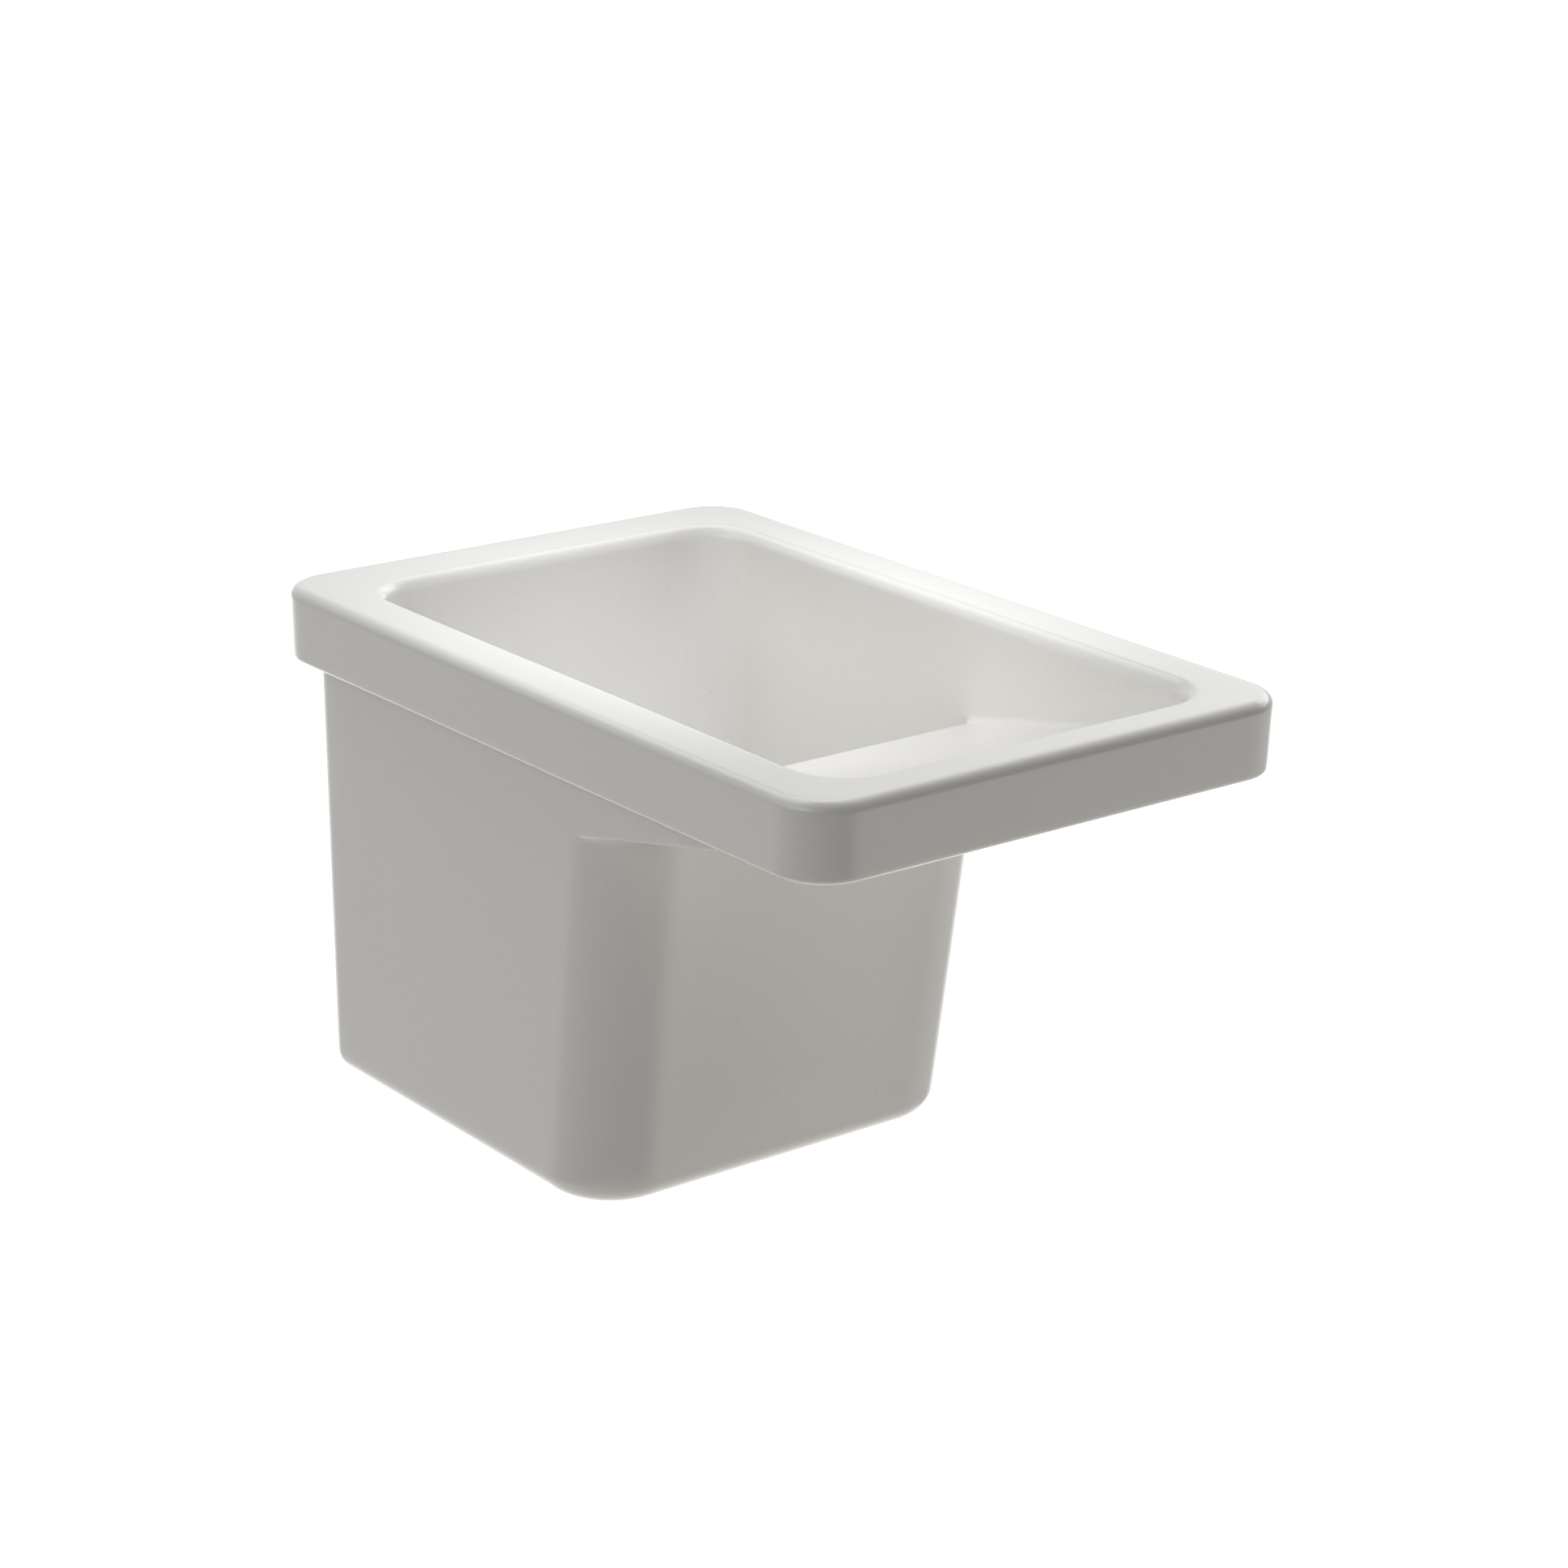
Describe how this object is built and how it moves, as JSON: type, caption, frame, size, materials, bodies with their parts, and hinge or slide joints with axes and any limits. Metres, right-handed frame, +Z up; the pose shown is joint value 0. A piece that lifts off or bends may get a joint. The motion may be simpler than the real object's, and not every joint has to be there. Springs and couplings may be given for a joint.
{
  "type": "laundry sink",
  "caption": "Wall-hung ceramic laundry sink: deep bowl, sloping shelf in front, flat rim with a turned-down apron, basket waste in the floor.",
  "frame": {"origin": "middle of the flat back that lies on the wall, at the level of the rim's lower edge", "axes": "+Z up, +Y towards the wall, +X to the right seen from the front"},
  "size_m": [0.39, 0.6, 0.4278],
  "materials": {
    "glaze": "gloss",
    "steel": "satin",
    "polished_steel": "polished",
    "zinc_steel": "satin",
    "brass": "satin",
    "black_rubber": "matte",
    "grey_rubber": "matte",
    "white_plastic": "satin",
    "clear_plastic": "satin"
  },
  "bodies": {
    "sink": {"basin": "glaze", "wall_hooks": "zinc_steel", "hook_pads": "black_rubber", "strainer_bowl": "steel", "flange_seal": "black_rubber", "under_gasket": "black_rubber", "slip_ring": "clear_plastic", "waste_body": "white_plastic", "threaded_insert": "brass", "clamping_screw": "steel", "screw_washer": "steel"},
    "basket": {"basket_cup": "polished_steel", "basket_seal": "grey_rubber", "seal_carrier": "white_plastic", "basket_post": "steel", "basket_knob": "polished_steel", "post_nut": "brass", "snap_collet": "clear_plastic"}
  },
  "joints": [
    {"name": "basket_lift", "type": "slide", "parent": "sink", "child": "basket", "axis": [0, 0, 1], "range_m": [0, 0.075]}
  ]
}
